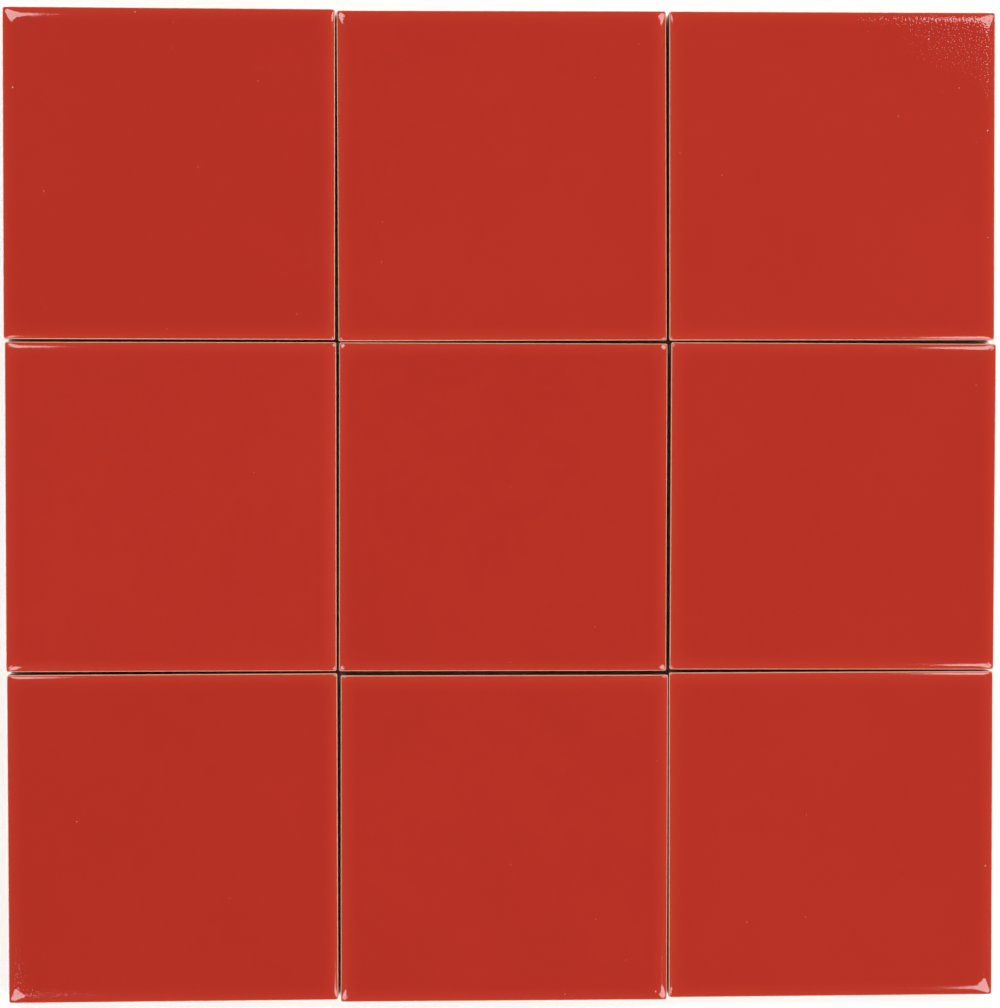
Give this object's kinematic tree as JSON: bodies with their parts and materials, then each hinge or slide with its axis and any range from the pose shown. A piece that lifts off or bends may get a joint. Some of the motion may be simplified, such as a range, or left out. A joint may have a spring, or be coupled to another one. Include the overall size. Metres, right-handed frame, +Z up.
{
  "type": "set of glazed wall tiles",
  "caption": "Square gloss-glazed ceramic wall tiles with cushioned edges, laid dry in a square block; each outer tile lifts out.",
  "frame": {"origin": "middle of the centre tile's back, on the surface the tiles lie on", "axes": "+Z up out of the glazed faces, +X right along a row, +Y away from the front row to the back row"},
  "size_m": [0.3266, 0.3267, 0.008],
  "materials": {
    "fired_clay": "matt fired clay, buff",
    "red_glaze": "gloss glaze, deep red"
  },
  "bodies": {
    "tile_front_left": {"clay_body_front_left": "fired_clay", "glaze_front_left": "red_glaze"},
    "tile_front_centre": {"clay_body_front_centre": "fired_clay", "glaze_front_centre": "red_glaze"},
    "tile_front_right": {"clay_body_front_right": "fired_clay", "glaze_front_right": "red_glaze"},
    "tile_mid_left": {"clay_body_mid_left": "fired_clay", "glaze_mid_left": "red_glaze"},
    "tile_mid_centre": {"clay_body_mid_centre": "fired_clay", "glaze_mid_centre": "red_glaze"},
    "tile_mid_right": {"clay_body_mid_right": "fired_clay", "glaze_mid_right": "red_glaze"},
    "tile_back_left": {"clay_body_back_left": "fired_clay", "glaze_back_left": "red_glaze"},
    "tile_back_centre": {"clay_body_back_centre": "fired_clay", "glaze_back_centre": "red_glaze"},
    "tile_back_right": {"clay_body_back_right": "fired_clay", "glaze_back_right": "red_glaze"}
  },
  "joints": [
    {"name": "lift_front_left", "type": "slide", "parent": "tile_mid_centre", "child": "tile_front_left", "axis": [0, 0, 1], "range_m": [0, 0.03]},
    {"name": "lift_front_centre", "type": "slide", "parent": "tile_mid_centre", "child": "tile_front_centre", "axis": [0, 0, 1], "range_m": [0, 0.03]},
    {"name": "lift_front_right", "type": "slide", "parent": "tile_mid_centre", "child": "tile_front_right", "axis": [0, 0, 1], "range_m": [0, 0.03]},
    {"name": "lift_mid_left", "type": "slide", "parent": "tile_mid_centre", "child": "tile_mid_left", "axis": [0, 0, 1], "range_m": [0, 0.03]},
    {"name": "lift_mid_right", "type": "slide", "parent": "tile_mid_centre", "child": "tile_mid_right", "axis": [0, 0, 1], "range_m": [0, 0.03]},
    {"name": "lift_back_left", "type": "slide", "parent": "tile_mid_centre", "child": "tile_back_left", "axis": [0, 0, 1], "range_m": [0, 0.03]},
    {"name": "lift_back_centre", "type": "slide", "parent": "tile_mid_centre", "child": "tile_back_centre", "axis": [0, 0, 1], "range_m": [0, 0.03]},
    {"name": "lift_back_right", "type": "slide", "parent": "tile_mid_centre", "child": "tile_back_right", "axis": [0, 0, 1], "range_m": [0, 0.03]}
  ]
}
